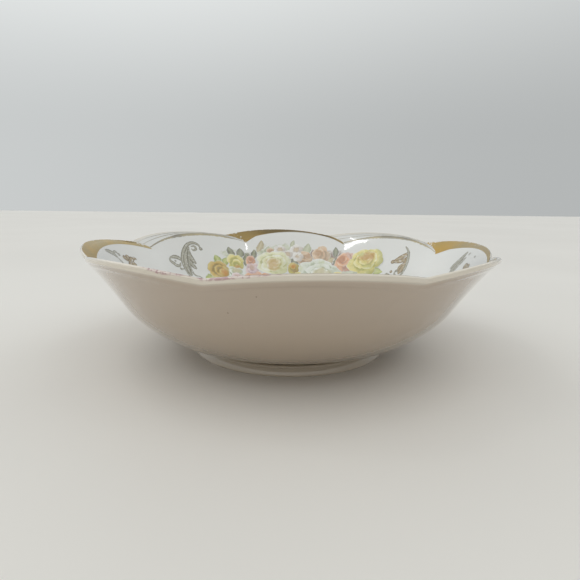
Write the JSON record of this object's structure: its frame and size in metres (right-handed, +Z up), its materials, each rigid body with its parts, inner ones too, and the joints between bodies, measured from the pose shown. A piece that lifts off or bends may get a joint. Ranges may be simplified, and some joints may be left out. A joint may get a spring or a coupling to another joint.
{
  "type": "serving bowl",
  "caption": "Shallow round porcelain serving bowl with a lobed, swirled and flared rim, gilt rim decoration, leaf scrolls and a painted spray of roses, on a low foot ring.",
  "frame": {"origin": "centre of the plane that the foot ring stands on", "axes": "+Z up out of the bowl's mouth, +Y towards the rose spray at the back of the well"},
  "size_m": [0.254, 0.254, 0.068],
  "materials": {
    "glazed_porcelain": "clear glossy glaze over a warm white body",
    "foot_porcelain": "glossy glaze, with the tread left bare",
    "gilding": "burnished on-glaze gold, slightly worn",
    "gilt_lines": "thin on-glaze gold, rubbed to grey",
    "scroll_transfer": "grey-gold printed transfer fired into the glaze",
    "rose_transfer": "soft multi-coloured printed transfer fired into the glaze"
  },
  "bodies": {
    "root": {"bowl_body": "glazed_porcelain", "foot_ring": "foot_porcelain", "gilt_panel_back": "gilding", "gilt_panel_left": "gilding", "gilt_panel_front": "gilding", "gilt_panel_right": "gilding", "gilt_line_back_right_inner": "gilt_lines", "gilt_line_back_right_middle": "gilt_lines", "gilt_line_back_right_outer": "gilt_lines", "gilt_line_back_left_inner": "gilt_lines", "gilt_line_back_left_middle": "gilt_lines", "gilt_line_back_left_outer": "gilt_lines", "gilt_line_front_left_inner": "gilt_lines", "gilt_line_front_left_middle": "gilt_lines", "gilt_line_front_left_outer": "gilt_lines", "gilt_line_front_right_inner": "gilt_lines", "gilt_line_front_right_middle": "gilt_lines", "gilt_line_front_right_outer": "gilt_lines", "leaf_scroll_back_left": "scroll_transfer", "leaf_scroll_left": "scroll_transfer", "leaf_scroll_front_left": "scroll_transfer", "leaf_scroll_front": "scroll_transfer", "leaf_scroll_front_right": "scroll_transfer", "leaf_scroll_right": "scroll_transfer", "leaf_scroll_back_right": "scroll_transfer", "rose_spray": "rose_transfer"}
  },
  "joints": []
}
